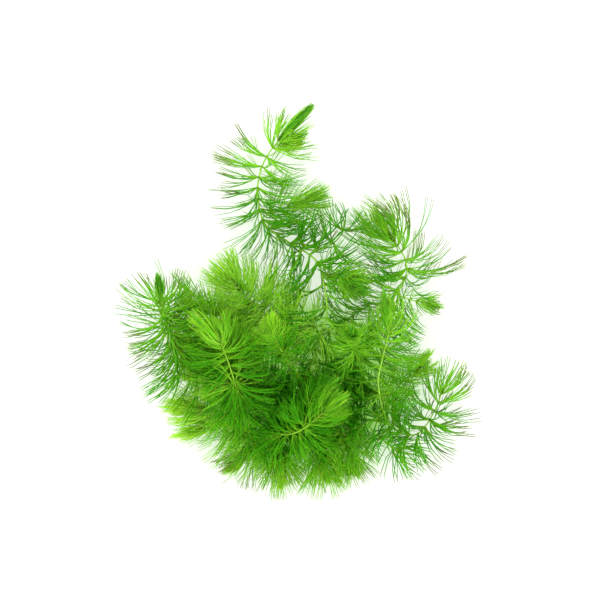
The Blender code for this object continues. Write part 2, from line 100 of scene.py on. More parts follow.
# Growing tips
HEART_SIDES = 10
HEART_FOOT = 0.35  # radius, as a share of the tip's
HEART_RADIUS = 0.8
HEART_RINGS = (0.08, 0.2, 0.36, 0.52, 0.68, 0.82, 0.92)  # heights, as shares of the whole
YOUNG_STEPS = 9
YOUNG_SIZE = 0.75  # how thick a young leaf is, times a grown one
YOUNG_TURN = 2.39996  # radians from one young leaf to the next, the golden angle
YOUNG_TURN_RANGE = (-0.2, 0.2)
YOUNG_DRIFT = 0.25  # radians that a young leaf winds round the tip, a standard deviation
YOUNG_FLARE = 2.1 * MM  # how far out the end of a stray young leaf bends, at most
YOUNG_DRYNESS = 0.3  # share of the shoot's dryness, at most
YOUNG_FRESH_SPREAD = 0.2
BRUSH_GIRTH = 1.1  # of a loose tip, times its radius
BRUSH_ARCH = 2.2  # radians of the arch that the leaves of a loose tip rise and fall by

MIDDLE = (1.1, 0.9)  # the clump's middle, in the millimetres that the routes are stated in

# What a shoot is like unless it says otherwise in SHOOTS. Lengths are in millimetres, angles in
# radians, and distances are counted back from the growing end.
USUAL = {
    "behind": 0.0,  # how far beyond the route's end the growing end is, in another shoot or lost
    "spacing": 3.3,  # between the whorls of a grown stretch
    "first": 1.8,  # between the two whorls nearest to the growing end
    "leaf": 20.0,  # the length of a grown leaf
    "leaves": (12, 16),  # the fewest leaves in a whorl, and one more than the most
    "plans": (0.30, 0.20, 0.14, 0.20, 0.16),  # how often each of the leaf plans grows
    "girth": 1.0,  # how thick the leaves are, times the usual
    "thinned": 1000.0,  # the distance beyond which a whorl has lost most of its leaves
    "sparse": (0.0, 0.0, 0.0),  # the side on which leaves are missing
    "parting": 0.35,  # to each side of the top of a level shoot that its leaves part by
    "parted": 18.0,  # the distance at which the parting begins to close
    "upright": 4.0,  # the distance in which leaves still stand round the tip
    "swept": 0.1,  # how far the leaves of older whorls lean back
    "bend": (0.5, 1.05),  # how far a leaf curls towards the growing end, least and most
    "slot": "leaf",  # the material slot of the leaves
    "darkening": 0.45,  # how much darker the leaves turn further back from the growing end: partly their older tone, partly painted shade deeper in the clump
    "darkening_span": 30.0,  # the distance back from the growing end by which the leaves have darkened in full
    "dry": 0.0,  # how grey-brown the ends of the leaves are
    "tip_radius": 2.3,  # of the growing tip
    "loose": 0.9,  # how far the tip has opened, from a closed spindle at 0 to a brush at 1
    "young": 50,  # how many leaves the tip has
}

# Each route is the one that the solids follow, and "tip" is where its growing tip ends.
# The shoot's green value is how light and yellow the green is, partly the shoot's own tone and
# partly painted light and shade, lowest for shoots that lie in shade deep in the clump; "bud" is
# the same for the growing tip.
SHOOTS = {
    "north_stem": {
        "route": [
            (3, -41, 13), (9, -24, 17), (14, -6, 20),
            (11, 13, 19), (4, 20, 16), (-3, 24, 14),
        ],
        "behind": 45.0,
        "spacing": 4.8,
        "leaf": 24.0,
        "leaves": (9, 12),
        "girth": 1.6,
        "thinned": 66.0,
        "tone_and_shade": 0.42,
        "dry": 0.2,
    },
    "north": {
        "route": [
            (-3, 24, 14), (-12, 31, 12), (-15, 41, 12),
            (-15, 50, 12), (-12, 59, 12), (-6, 67.5, 13),
        ],
        "tip": (9, 82.5, 15),
        "spacing": 4.6,
        "first": 3.8,
        "leaf": 22.0,
        "leaves": (12, 15),
        "parting": 0.5,
        "upright": 0.0,
        "swept": 0.35,
        "bend": (0.3, 0.8),
        "tone_and_shade": 0.34,
        "dry": 0.9,
        "bud": 0.22,
        "tip_radius": 2.0,
        "loose": 0.0,
    },
    "north_twin": {
        "route": [(-9, 63.6, 12.4), (-4, 65, 15)],
        "tip": (7, 70, 17),
        "leaf": 15.0,
        "upright": 6.0,
        "tone_and_shade": 0.35,
        "dry": 0.5,
        "bud": 0.35,
        "tip_radius": 2.2,
        "loose": 1.0,
    },
    "north_inner": {
        "route": [(-13.3, 34, 12), (-5, 38, 10), (5, 41, 9.5)],
        "tip": (16, 45, 10),
        "spacing": 4.0,
        "leaf": 18.0,
        "leaves": (8, 11),
        "upright": 9.0,
        "bend": (0.2, 0.6),
        "tone_and_shade": 0.42,
        "bud": 0.36,
        "tip_radius": 1.5,
        "loose": 1.0,
        "young": 24,
    },
    "arched": {
        "route": [(2, 21.6, 15), (8, 20, 13), (14, 21.5, 13), (20, 26, 14), (21.5, 32, 14)],
        "behind": 6.0,
        "spacing": 7.0,
        "leaf": 17.0,
        "leaves": (9, 12),
        "girth": 1.4,
        "slot": "old_leaf",
        "tone_and_shade": 0.4,
        "dry": 0.6,
    },
    "middle": {
        "route": [(12.7, 9, 19.6), (17, 9, 25), (22, 7, 30)],
        "tip": (32, 2, 41),
        "spacing": 2.2,
        "leaf": 18.0,
        "upright": 6.0,
        "tone_and_shade": 0.28,
        "bud": 0.15,
        "tip_radius": 3.2,
        "loose": 1.0,
        "young": 70,
    },
    "crown": {
        "route": [(4, -38, 14), (1, -31, 24), (-4, -24, 33), (-8, -15.5, 43)],
        "tip": (-9, -3, 58),
        "leaf": 16.0,
        "leaves": (10, 13),
        "thinned": 14.0,
        "parting": 0.0,
        "parted": 12.0,
        "upright": 10.0,
        "swept": 0.3,
        "tone_and_shade": 0.36,
        "darkening": 0.9,
        "darkening_span": 12.0,
        "bud": 0.62,
        "tip_radius": 1.5,
        "loose": 1.0,
        "young": 30,
    },
    "northwest": {
        "route": [(12.9, -11, 19.5), (6, -13, 15), (-6, -9, 12.5), (-18, -1, 12), (-26, 7, 12)],
        "tip": (-37, 17, 12),
        "spacing": 1.9,
        "leaf": 20.5,
        "leaves": (16, 20),
        "thinned": 31.0,
        "upright": 3.0,
        "tone_and_shade": 0.75,
        "darkening": 0.0,
        "dry": 0.1,
        "bud": 0.8,
        "tip_radius": 2.0,
        "loose": 1.0,
        "young": 24,
    },
    "northeast_stem": {
        "route": [(24, -38, 12), (32, -21, 14), (40, -3, 16), (46, 5, 17)],
        "behind": 45.0,
        "spacing": 4.6,
        "leaf": 24.0,
        "leaves": (10, 13),
        "tone_and_shade": 0.5,
    },
    "northeast": {
        "route": [(46, 5, 17), (48, 11, 18), (46.5, 18, 18), (41, 26, 18)],
        "tip": (32, 39, 19),
        "spacing": 3.8,
        "leaf": 29.0,
        "leaves": (17, 21),
        "girth": 0.85,
        "sparse": (1.0, 0.0, 0.0),
        "upright": 5.0,
        "swept": 0.35,
        "bend": (0.9, 1.6),
        "tone_and_shade": 0.18,
        "dry": 1.0,
        "bud": 0.62,
        "tip_radius": 2.0,
        "loose": 1.0,
        "young": 40,
    },
    "northeast_twig": {
        "route": [(43.5, 1.5, 16.5), (50, -1, 13), (57, -2.5, 11)],
        "tip": (65, -4.5, 11),
        "leaf": 12.0,
        "leaves": (6, 9),
        "girth": 1.1,
        "tone_and_shade": 0.3,
        "dry": 0.6,
        "bud": 0.4,
        "tip_radius": 1.2,
        "young": 16,
    },
    "peak": {
        "route": [(29, -28, 13), (27, -25, 22), (25.5, -21.5, 33), (24.5, -17, 42)],
        "tip": (23.5, -12, 57),
        "leaf": 15.0,
        "leaves": (10, 13),
        "thinned": 14.0,
        "tone_and_shade": 0.35,
        "bud": 0.2,
        "loose": 1.0,
    },
    "east_stem": {
        "route": [(8, -61, 14), (21, -57, 16), (32, -53, 18), (38, -49, 20)],
        "behind": 45.0,
        "spacing": 4.4,
        "tone_and_shade": 0.3,
    },
    "east": {
        "route": [(38, -49, 20), (36, -40, 25), (35.5, -34, 28), (37, -26, 31.5), (40, -13.5, 36)],
        "tip": (37, 5, 41),
        "spacing": 7.0,
        "leaves": (10, 13),
        "thinned": 13.0,
        "parting": 1.1,
        "parted": 22.0,
        "upright": 1.0,
        "swept": 0.2,
        "bend": (0.8, 1.3),
        "tone_and_shade": 0.38,
        "darkening_span": 10.0,
        "dry": 1.1,
        "bud": 0.4,
        "tip_radius": 2.4,
        "loose": 0.6,
    },
    "far_east": {
        "route": [(36, -50.6, 19.2), (47, -58, 15), (54, -57, 14), (60, -48, 14), (63, -40, 16)],
        "tip": (67, -29, 25),
        "spacing": 4.0,
        "first": 4.0,
        "leaf": 22.0,
        "leaves": (11, 14),
        "girth": 1.2,
        "parting": 0.1,
        "upright": 2.0,
        "swept": 0.3,
        "bend": (0.7, 1.2),
        "tone_and_shade": 0.3,
        "darkening_span": 14.0,
        "dry": 0.9,
        "bud": 0.55,
        "tip_radius": 1.2,
        "loose": 1.0,
        "young": 6,
    },
    "east_side": {
        "route": [(36.3, -42, 24), (42, -39, 18), (48, -34, 17), (53, -30, 17)],
        "tip": (60, -21, 20),
        "leaf": 14.0,
        "tone_and_shade": 0.4,
        "bud": 0.7,
        "tip_radius": 1.5,
        "loose": 1.0,
        "young": 16,
    },
    "southeast": {
        "route": [(31, -53.4, 17.7), (36, -59, 14), (41, -63, 12), (46, -66, 10)],
        "spacing": 5.0,
        "leaves": (4, 7),
        "girth": 1.35,
        "tone_and_shade": 0.05,
        "dry": 0.8,
    },
    "west_stem": {
        "route": [(3, -57, 10), (-7, -61, 12), (-14, -61, 16), (-19, -57, 20)],
        "behind": 45.0,
        "spacing": 4.4,
        "leaves": (7, 10),
        # Below zero: painted shade on the stem's leaves deep in the clump
        "tone_and_shade": -0.8,
    },
    "west": {
        "route": [(-19, -57, 20), (-22, -46, 27), (-24, -37, 32), (-27, -27, 36), (-30, -18.5, 40)],
        "tip": (-44, -5, 45),
        "thinned": 28.0,
        "parting": 1.0,
        "parted": 15.0,
        "upright": 1.0,
        "swept": 0.6,
        "tone_and_shade": 0.26,
        "darkening": 0.8,
        "darkening_span": 14.0,
        "bud": 0.5,
        "tip_radius": 3.0,
        "loose": 1.0,
    },
    "west_middle": {
        "route": [(-24, -37, 32), (-29, -35, 25), (-35, -33.5, 21)],
        "tip": (-50, -33.5, 20),
        "leaf": 17.0,
        "tone_and_shade": 0.6,
        "bud": 0.7,
    },
    "west_lowest": {
        "route": [(-17, -59, 18.6), (-27, -56, 11), (-37, -55.5, 9)],
        "tip": (-54, -60, 9),
        "leaf": 19.0,
        "tone_and_shade": 0.6,
        "dry": 0.4,
        "bud": 0.9,
        "tip_radius": 3.0,
        "loose": 1.0,
    },
    "far_west": {
        "route": [
            (-22, -49, 14), (-34, -40, 14), (-43, -31, 14),
            (-49, -22, 15), (-54, -11, 18), (-56, -1, 23),
        ],
        "tip": (-56.5, 10.5, 37),
        "spacing": 2.0,
        "leaf": 26.0,
        "leaves": (14, 17),
        "plans": (0.15, 0.0, 0.35, 0.25, 0.25),
        "girth": 1.1,
        "thinned": 34.0,
        "sparse": (-1.0, 0.0, 0.0),
        "parting": 0.0,
        "upright": -3.0,
        "swept": 0.45,
        "bend": (0.7, 1.3),
        "tone_and_shade": 0.24,
        "darkening": 0.05,
        "dry": 0.9,
        "bud": 0.2,
        "tip_radius": 1.5,
        "loose": 0.0,
    },
    "west_low": {
        "route": [(-25, -47, 14), (-32, -48.5, 11.5), (-41, -47, 11)],
        "tip": (-59, -46.5, 12),
        "tone_and_shade": 0.75,
        "dry": 0.3,
        "bud": 1.0,
        "tip_radius": 3.2,
        "loose": 1.0,
    },
    "south": {
        "route": [
            (-15, -61.5, 17), (-8, -58, 25), (-1, -57, 31),
            (5, -54, 35.5), (12.5, -47.5, 40),
        ],
        "tip": (24, -39, 44),
        "leaf": 17.0,
        "thinned": 30.0,
        "parting": 0.9,
        "upright": 9.0,
        "swept": 0.6,
        "tone_and_shade": 0.15,
        "darkening": 0.7,
        "darkening_span": 18.0,
        "bud": 0.38,
        "tip_radius": 2.4,
        "loose": 0.8,
    },
    "south_twin": {
        "route": [(4, -54.6, 35), (7, -46, 33), (12, -40, 33)],
        "tip": (21, -32, 37),
        "leaf": 14.0,
        # Just below zero: painted shade where the shoot lies over the dark hollow in the clump's
        # middle
        "tone_and_shade": -0.05,
        "bud": 0.25,
        "tip_radius": 1.8,
        "young": 26,
    },
    "southwest": {
        "route": [(-12, -61.2, 14.8), (-17, -66, 11), (-21, -69, 10.5)],
        "tip": (-31, -76, 9),
        "spacing": 2.6,
        "leaves": (14, 18),
        "bend": (0.2, 0.7),
        "tone_and_shade": 0.42,
        "dry": 0.9,
        "bud": 0.55,
    },
    "south_fringe": {
        "route": [(-5, -60.4, 11.4), (-6.5, -66, 11), (-6, -70, 10.5)],
        "tip": (-4.5, -83, 9),
        "spacing": 2.1,
        "leaf": 23.0,
        "leaves": (15, 19),
        "upright": 1.0,
        "swept": 0.35,
        "bend": (0.0, 0.5),
        "tone_and_shade": 0.3,
        "dry": 0.5,
        "bud": 0.8,
    },
    "south_middle": {
        "route": [(11, -60.3, 14.4), (12, -66, 12), (12.5, -70, 12)],
        "tip": (15, -81, 10),
        "spacing": 2.1,
        "leaf": 23.0,
        "leaves": (15, 19),
        "upright": 1.0,
        "swept": 0.35,
        "bend": (0.0, 0.5),
        "tone_and_shade": 0.3,
        "dry": 0.5,
        "bud": 0.8,
        "tip_radius": 1.9,
    },
    "south_corner": {
        "route": [(21, -57, 16), (23, -64, 12.5), (24.5, -68, 11.5)],
        "tip": (28, -79, 9),
        "spacing": 2.6,
        "leaf": 19.0,
        "leaves": (14, 18),
        "bend": (0.2, 0.7),
        "tone_and_shade": 0.4,
        "dry": 0.8,
        "bud": 0.55,
        "tip_radius": 1.7,
    },
    "core_south": {
        "route": [(-10, -50, 9), (2, -49, 9), (14, -47, 9), (26, -44, 9), (36, -40, 9)],
        "behind": 45.0,
        "spacing": 2.8,
        "leaf": 24.0,
        "leaves": (17, 21),
        # Below zero: painted shade of the dark hollow under the clump's middle
        "tone_and_shade": -0.5,
    },
    "core_north": {
        "route": [(-18, -18, 8), (-8, -20, 9), (6, -19, 9), (20, -11, 9), (34, -2, 10)],
        "behind": 45.0,
        "spacing": 4.0,
        "leaf": 18.0,
        "leaves": (6, 9),
        "tone_and_shade": 0.4,
    },
    "core_west": {
        "route": [(-10, -36, 9), (-20, -33, 9), (-29, -25, 9), (-34, -14, 9), (-33, -4, 9)],
        "behind": 45.0,
        "spacing": 2.2,
        "leaf": 24.0,
        "leaves": (17, 21),
        "swept": -0.5,
        # Painted light on this low layer of leaves, which lies in the clump's shade
        "tone_and_shade": 0.8,
    },
}

# Openings in the foliage, seen from above: x, y and radius in the routes' millimetres
GAPS = [
    (-4.4, 16.5, 1.2),
    (4.8, 17.2, 1.8),
    (11, 18.2, 1.5),
    (-13.2, 25.8, 0.9),
    (-14, 9, 1.2),
    (6, 26, 1.3),
    (28.8, 15, 1.3),
    (9, 7, 1.2),
    (9.5, -1.5, 3.2),
    (12.5, -11.5, 2.8),
    (28, -8.6, 1.8),
    (33.2, -53.5, 4.0),
    (51, -44.7, 1.1),
    (50, -56, 1.6),
    (56, -40, 1.3),
    (39.3, -70.5, 2.2),
    (-43.5, -37.2, 1.5),
    (-47, -37.2, 1.4),
    (-24, -7.8, 1.3),
    (-40, -61, 2.2),
    (-34, -62.5, 1.8),
    (-25, -78, 4.0),
]

# The floor's painted green glow and painted shade are greenest under this place; from the first
# distance to the second they turn pale, and the green reaches less far along y.
UNDERSIDE_MIDDLE = (4.0 * MM, -39.0 * MM, 0.0)
UNDERSIDE_REACH = (34.0 * MM, 57.0 * MM)
UNDERSIDE_STRETCH = (1.0, 1.3, 1.0)

# The camera looks straight down. One pixel of its picture is this wide at the height of the
# clump's middle.
PIXEL = 0.42 * MM
PICTURE_WIDTH = 600
CAMERA_PLACE = (1.63 * MM, -1.95 * MM)
CLUMP_MIDDLE_HEIGHT = 25.0 * MM
LENS = 135.0
SENSOR = 36.0


def pick_end(place):
    """Selects the face whose middle is nearest to the place, and nothing else."""
    bpy.ops.mesh.select_mode(type="FACE")
    bpy.ops.mesh.select_all(action="DESELECT")
    bm = bmesh.from_edit_mesh(bpy.context.edit_object.data)
    face = min(bm.faces, key=lambda face: (face.calc_center_median() - place).length)
    face.select_set(True)
    bmesh.update_edit_mesh(bpy.context.edit_object.data)


def start_ring(sides, radius, fill="NOTHING"):
    """A ring at the origin, selected on its own in edit mode."""
    bpy.ops.object.select_all(action="DESELECT")
    bpy.ops.mesh.primitive_circle_add(vertices=sides, radius=radius, fill_type=fill)
    bpy.ops.object.mode_set(mode="EDIT")


def draw_out(place, size, step, new_size):
    """Pulls the selected end on by a step and gives it a new width and depth."""
    bpy.ops.mesh.extrude_region_move(TRANSFORM_OT_translate={"value": step})
    place = place + Vector(step)
    change = (new_size[0] / size[0], new_size[1] / size[1], 1.0)
    bpy.ops.transform.resize(value=change, center_override=place)
    return place


def draw_up(girth, rings, length):
    """Pulls the selected ring up from the floor through the rings, each a height and a girth."""
    place = Vector((0.0, 0.0, 0.0))
    height = 0.0
    for new_height, new_girth in rings:
        step = (0.0, 0.0, (new_height - height) * length)
        place = draw_out(place, [girth] * 2, step, [new_girth] * 2)
        height = new_height
        girth = new_girth


def draw_prong(place, size, start, lean):
    """Pulls a prong out to its point. It sets off near the lean of the branch that it grows on."""
    left = MODEL_LENGTH - place.z
    first, second, last = PRONG_STEPS
    full = prong_size(1.0)
    waist = prong_size(PRONG_WAIST)
    turned = (0.4 * start + 0.8 * lean) * first
    place = draw_out(place, size, (turned * left, 0.0, left * first), full)
    place = draw_out(place, full, (lean * left * 0.3, 0.0, left * second), waist)
    bpy.ops.mesh.extrude_region_move(TRANSFORM_OT_translate={"value": (0.0, 0.0, left * last)})
    bpy.ops.mesh.merge(type="CENTER")


def prong_size(share):
    return [extent * share * MM for extent in PRONG_SIZE]


def part_end(place, size):
    """Parts the end face at the place in two halves, side by side, and gives their middles."""
    pick_end(place)
    bm = bmesh.from_edit_mesh(bpy.context.edit_object.data)
    end = next(face for face in bm.faces if face.select)
    wide = [
        edge for edge in end.edges if abs(edge.verts[0].co.x - edge.verts[1].co.x) > size[0] / 2
    ]
    bpy.ops.mesh.select_mode(type="EDGE")
    bpy.ops.mesh.select_all(action="DESELECT")
    for edge in wide:
        edge.select_set(True)
    bpy.ops.mesh.subdivide(number_cuts=1)
    return [place + Vector((side * size[0] / 4, 0.0, 0.0)) for side in (1, -1)]


def model_leaf(name, plan):
    """A leaf that stands up from the origin: its stalk, its forks and its pointed prongs."""
    stalk_end, branches = plan
    stalk = [extent * MM for extent in STALK_SIZE]
    branch = [extent * MM for extent in BRANCH_SIZE]
    branch_fork = [branch[0] * BRANCH_FORK, branch[1]]
    start_ring(4, math.sqrt(0.5), "NGON")
    bpy.context.object.name = name
    bpy.ops.transform.rotate(value=math.pi / 4, orient_axis="Z", center_override=(0.0, 0.0, 0.0))
    bpy.ops.transform.resize(value=(stalk[0], stalk[1], 1.0), center_override=(0.0, 0.0, 0.0))
    place = Vector((0.0, 0.0, 0.0))
    waist = [extent * STALK_WAIST for extent in stalk]
    for size in (waist, [stalk[0] * STALK_FORK, stalk[1]]):
        place = draw_out(place, stalk, (0.0, 0.0, stalk_end * MODEL_LENGTH / 2), size)
        stalk = size
    for half, (lean, end, prongs) in zip(part_end(place, stalk), branches):
        pick_end(half)
        half_size = [stalk[0] / 2, stalk[1]]
        if not prongs:
            draw_prong(half, half_size, 0.0, lean)
            continue
        # A branch leans less in its first step than in its second
        step = (end * MODEL_LENGTH - half.z) / 2
        half = draw_out(half, half_size, (lean * step * 0.8, 0.0, step), branch)
        half = draw_out(half, branch, (lean * step * 1.2, 0.0, step), branch_fork)
        for prong, prong_lean in zip(part_end(half, branch), prongs):
            pick_end(prong)
            draw_prong(prong, [branch[0] / 2, branch[1]], lean, prong_lean)
    bpy.ops.object.mode_set(mode="OBJECT")
    bpy.ops.object.shade_smooth()
    return bpy.context.object


class Shape:
    """A modelled shape as arrays. The share of a corner is its height as a share of the whole."""

    def __init__(self, made, length):
        mesh = made.data
        places = np.empty(len(mesh.vertices) * 3)
        mesh.vertices.foreach_get("co", places)
        self.places = places.reshape(-1, 3)
        self.share = np.clip(self.places[:, 2] / length, 0.0, 1.0)
        self.corners = np.empty(len(mesh.loops), int)
        mesh.loops.foreach_get("vertex_index", self.corners)
        self.starts = np.empty(len(mesh.polygons), int)
        mesh.polygons.foreach_get("loop_start", self.starts)
        bpy.data.objects.remove(made)


class Spray:
    """Copies of shapes, bent along paths, which end up joined in one mesh."""

    def __init__(self):
        self.places = []
        self.corners = []
        self.starts = []
        self.values = {"along": [], "tone_and_shade": [], "dry": []}
        self.place_count = 0
        self.corner_count = 0

    def add(self, shape, path, wide, thickness, tone_and_shade, dry):
        """Bends a copy of the shape along the path.

        Its width lies along wide, and its depth across both the path and wide.
        """
        spot = shape.share * (len(path) - 1)
        low = np.minimum(spot.astype(int), len(path) - 2)
        part = (spot - low)[:, None]
        heading = unit(np.gradient(path, axis=0))
        wide = unit(wide - heading * np.sum(wide * heading, axis=1, keepdims=True))
        deep = np.cross(heading, wide)

        def between(rows):
            return rows[low] * (1 - part) + rows[low + 1] * part

        offset = shape.places * between(thickness)
        across = between(wide) * offset[:, :1]
        self.places.append(between(path) + across + between(deep) * offset[:, 1:2])
        self.corners.append(shape.corners + self.place_count)
        self.starts.append(shape.starts + self.corner_count)
        self.values["along"].append(shape.share)
        self.values["tone_and_shade"].append(np.full(len(shape.share), tone_and_shade))
        self.values["dry"].append(np.full(len(shape.share), dry))
        self.place_count += len(shape.places)
        self.corner_count += len(shape.corners)

    def joined(self, name, surface):
        """The copies as one object, pressed softly on the floor where they would pass below it."""
        places = np.concatenate(self.places)
        low = places[:, 2] < FLOOR_REST
        places[low, 2] = FLOOR_REST * np.exp(places[low, 2] / FLOOR_REST - 1)
        corners = np.concatenate(self.corners)
        starts = np.concatenate(self.starts)
        mesh = bpy.data.meshes.new(name)
        mesh.vertices.add(len(places))
        mesh.vertices.foreach_set("co", places.ravel())
        mesh.loops.add(len(corners))
        mesh.loops.foreach_set("vertex_index", corners)
        mesh.polygons.add(len(starts))
        mesh.polygons.foreach_set("loop_start", starts)
        mesh.update(calc_edges=True)
        for value, parts in self.values.items():
            attribute = mesh.attributes.new(value, "FLOAT", "POINT")
            attribute.data.foreach_set("value", np.concatenate(parts))
        mesh.materials.append(surface)
        mesh.shade_smooth()
        made = bpy.data.objects.new(name, mesh)
        bpy.context.scene.collection.objects.link(made)
        return made


def unit(rows):
    return rows / np.linalg.norm(rows, axis=-1, keepdims=True)


def smooth_route(points):
    """A smooth curve through the points, as close-set places along it."""
    points = np.array(points, float)
    ends = np.vstack([2 * points[0] - points[1], points, 2 * points[-1] - points[-2]])
    places = []
    for before, start, end, after in zip(ends, ends[1:], ends[2:], ends[3:]):
        steps = max(2, int(np.linalg.norm(end - start) / ROUTE_STEP))
        slope_in = (end - before) / 2
        slope_out = (after - start) / 2
        for share in np.arange(steps) / steps:
            rest = 1 - share
            places.append(
                start * (1 + 2 * share) * rest**2
                + slope_in * share * rest**2
                + end * (3 - 2 * share) * share**2
                - slope_out * rest * share**2
            )
    return np.array(places + [points[-1]])


class Route:
    """A stalk's axis, read by the distance from its base."""

    def __init__(self, points):
        self.places = smooth_route(points)
        steps = np.linalg.norm(np.diff(self.places, axis=0), axis=1)
        self.distances = np.concatenate([[0.0], np.cumsum(steps)])
        self.length = self.distances[-1]
        self.headings = unit(np.gradient(self.places, axis=0))
        side = np.cross(self.headings[0], (0.0, 0.0, 1.0))
        sides = []
        for heading in self.headings:
            side = unit(side - heading * np.dot(side, heading))
            sides.append(side)
        self.sides = np.array(sides)

    def read(self, rows, distance):
        return np.array([np.interp(distance, self.distances, column) for column in rows.T]).T

    def at(self, distance):
        return self.read(self.places, distance)

    def along(self, distance):
        return unit(self.read(self.headings, distance))

    def outward(self, distance, angle):
        """The direction straight out from the axis, turned round it by the angle."""
        along = self.along(distance)
        side = self.read(self.sides, distance)
        side = unit(side - along * np.dot(side, along))
        return math.cos(angle) * side + math.sin(angle) * np.cross(along, side)


def leaf_path(base, along, outward, opening, length, bend, sway):
    """A leaf's middle line: it leaves the stalk at the opening, curls towards the tip and sways."""
    across = np.cross(along, outward)
    place = base
    path = [place]
    for share in (np.arange(LEAF_STEPS) + 0.5) / LEAF_STEPS:
        angle = opening + bend * (CURL_BEGINS - share)
        step = math.cos(angle) * along + math.sin(angle) * outward + math.sin(sway * share) * across
        step = unit(step) * length / LEAF_STEPS
        # Where the leaf reaches the floor it lies flat on it, half as high at its thin end
        rest = FLOOR_REST * (1 - 0.5 * share)
        if place[2] + step[2] < rest:
            rise = max(rest - place[2], -np.linalg.norm(step))
            flat = step[:2] / np.linalg.norm(step[:2])
            step = np.array([*flat * math.sqrt(max(np.dot(step, step) - rise**2, 0.0)), rise])
        place = place + step
        path.append(place)
    return np.array(path)


def whorl_places(route, spec):
    """Distances from the base at which whorls stand, closer together towards a growing end."""
    spacing = spec["spacing"] * MM
    if spec["behind"]:
        from_end = spacing / 2
        step = spacing
    else:
        from_end = FIRST_WHORL
        step = spec["first"] * MM
    places = []
    while from_end < route.length - LAST_WHORL:
        places.append(route.length - from_end)
        from_end += step
        step = min(step * SPACING_GROWTH, spacing)
    return places[::-1]


def opening_at(distance):
    return math.radians(np.interp(distance / MM, *zip(*OPENING_AT)))


def parted(angle, parting):
    """An angle from straight up, pushed away from it so that the parting stays bare."""
    angle = (angle + math.pi) % (2 * math.pi) - math.pi
    return math.copysign(parting + abs(angle) * (1 - parting / math.pi), angle)


def crosses_gap(path):
    """Whether the leaf would lie across one of the openings in the foliage."""
    gaps = np.array(GAPS) * MM
    places = gaps[:, :2] - np.array(MIDDLE) * MM
    apart = np.linalg.norm(path[:, None, :2] - places, axis=2)
    return bool((apart < gaps[:, 2]).any())


def leaf_whorls(route, spec, shapes, neighbours, chance):
    """The leaves of a shoot. Those that reach clear of the other shoots dry out at their ends."""
    spray = Spray()
    turn = chance.uniform(0, 2 * math.pi)
    for distance in whorl_places(route, spec):
        from_end = route.length - distance + spec["behind"] * MM
        along = route.along(distance)
        count = int(chance.integers(*spec["leaves"]))
        dryness = spec["dry"]
        if from_end > spec["thinned"] * MM:
            count = math.ceil(THINNED_SHARE * count)
            dryness = 0.0
        side = route.outward(distance, 0.0)
        up = math.atan2(np.cross(along, side)[2], side[2])
        parting = spec["parting"] * math.hypot(along[0], along[1])
        parted_to = spec["parted"] * MM
        parting *= np.interp(from_end, (parted_to, PARTING_CLOSES * parted_to), (1.0, 0.0))
        turn += math.pi / count + chance.uniform(*TURN_RANGE)
        lean = chance.normal(0.0, LEAN_SPREAD)
        for k in range(count):
            angle = turn + k * 2 * math.pi / count + chance.uniform(*ANGLE_RANGE)
            angle = parted(angle - up, parting) + up
            outward = route.outward(distance, angle)
            base = route.at(distance) + outward * STALK_RADIUS * LEAF_ROOT
            length = spec["leaf"] * MM * chance.uniform(*LENGTH_RANGE)
            length *= np.interp(from_end / MM, *zip(*LENGTH_AT))
            opening = lean + opening_at(from_end - spec["upright"] * MM)
            opening += chance.normal(0.0, OPENING_SPREAD)
            opening += spec["swept"] * min(from_end / SWEPT_AT, 1.0)
            bend = chance.uniform(*spec["bend"])
            sway = chance.normal(0.0, SWAY_SPREAD)
            path = leaf_path(base, along, outward, opening, length, bend, sway)
            if crosses_gap(path) and chance.uniform() > GAP_CROSSINGS:
                continue
            on_sparse_side = np.dot(outward, spec["sparse"]) > SPARSE_FROM
            if on_sparse_side and chance.uniform() > SPARSE_SHARE:
                continue
            heading = unit(path[-1] - path[0])
            level = unit(np.cross(heading, (0.0, 0.0, 1.0)) + 0.1 * np.cross(along, outward))
            roll = chance.normal(0.0, LEAF_ROLL)
            wide = math.cos(roll) * level + math.sin(roll) * np.cross(heading, level)
            size = spec["girth"] * math.sqrt(length / MODEL_LENGTH)
            shape = shapes[int(chance.choice(len(shapes), p=spec["plans"]))]
            # Further back from the growing end the leaves are darker: partly their older tone,
            # partly painted shade deeper in the clump
            darkened_share = min(from_end / (spec["darkening_span"] * MM), 1.0)
            tone_and_shade = spec["tone_and_shade"] + spec["darkening"] * (LIGHTER_UNTIL - darkened_share)
            tone_and_shade += chance.normal(0.0, FRESH_SPREAD)
            clear = np.linalg.norm(neighbours - path[-1, :2], axis=1).min()
            dry = dryness * chance.uniform(*DRYNESS_RANGE)
            dry *= np.interp(clear / MM, CLEAR, (0.0, 1.0))
            wide = np.tile(wide, (len(path), 1))
            thickness = np.full((len(path), 1), size)
            spray.add(shape, path, wide, thickness, tone_and_shade, dry)
    return spray


def model_internode():
    """A stretch of stalk between two whorls, open at both ends, which swells at the whorls."""
    girth = STALK_PROFILE[-1][1]
    start_ring(STALK_SIDES, STALK_RADIUS * girth)
    bpy.ops.mesh.select_mode(type="EDGE")
    bpy.ops.mesh.select_all(action="SELECT")
    draw_up(girth, STALK_PROFILE, INTERNODE)
    bpy.ops.object.mode_set(mode="OBJECT")
    return bpy.context.object


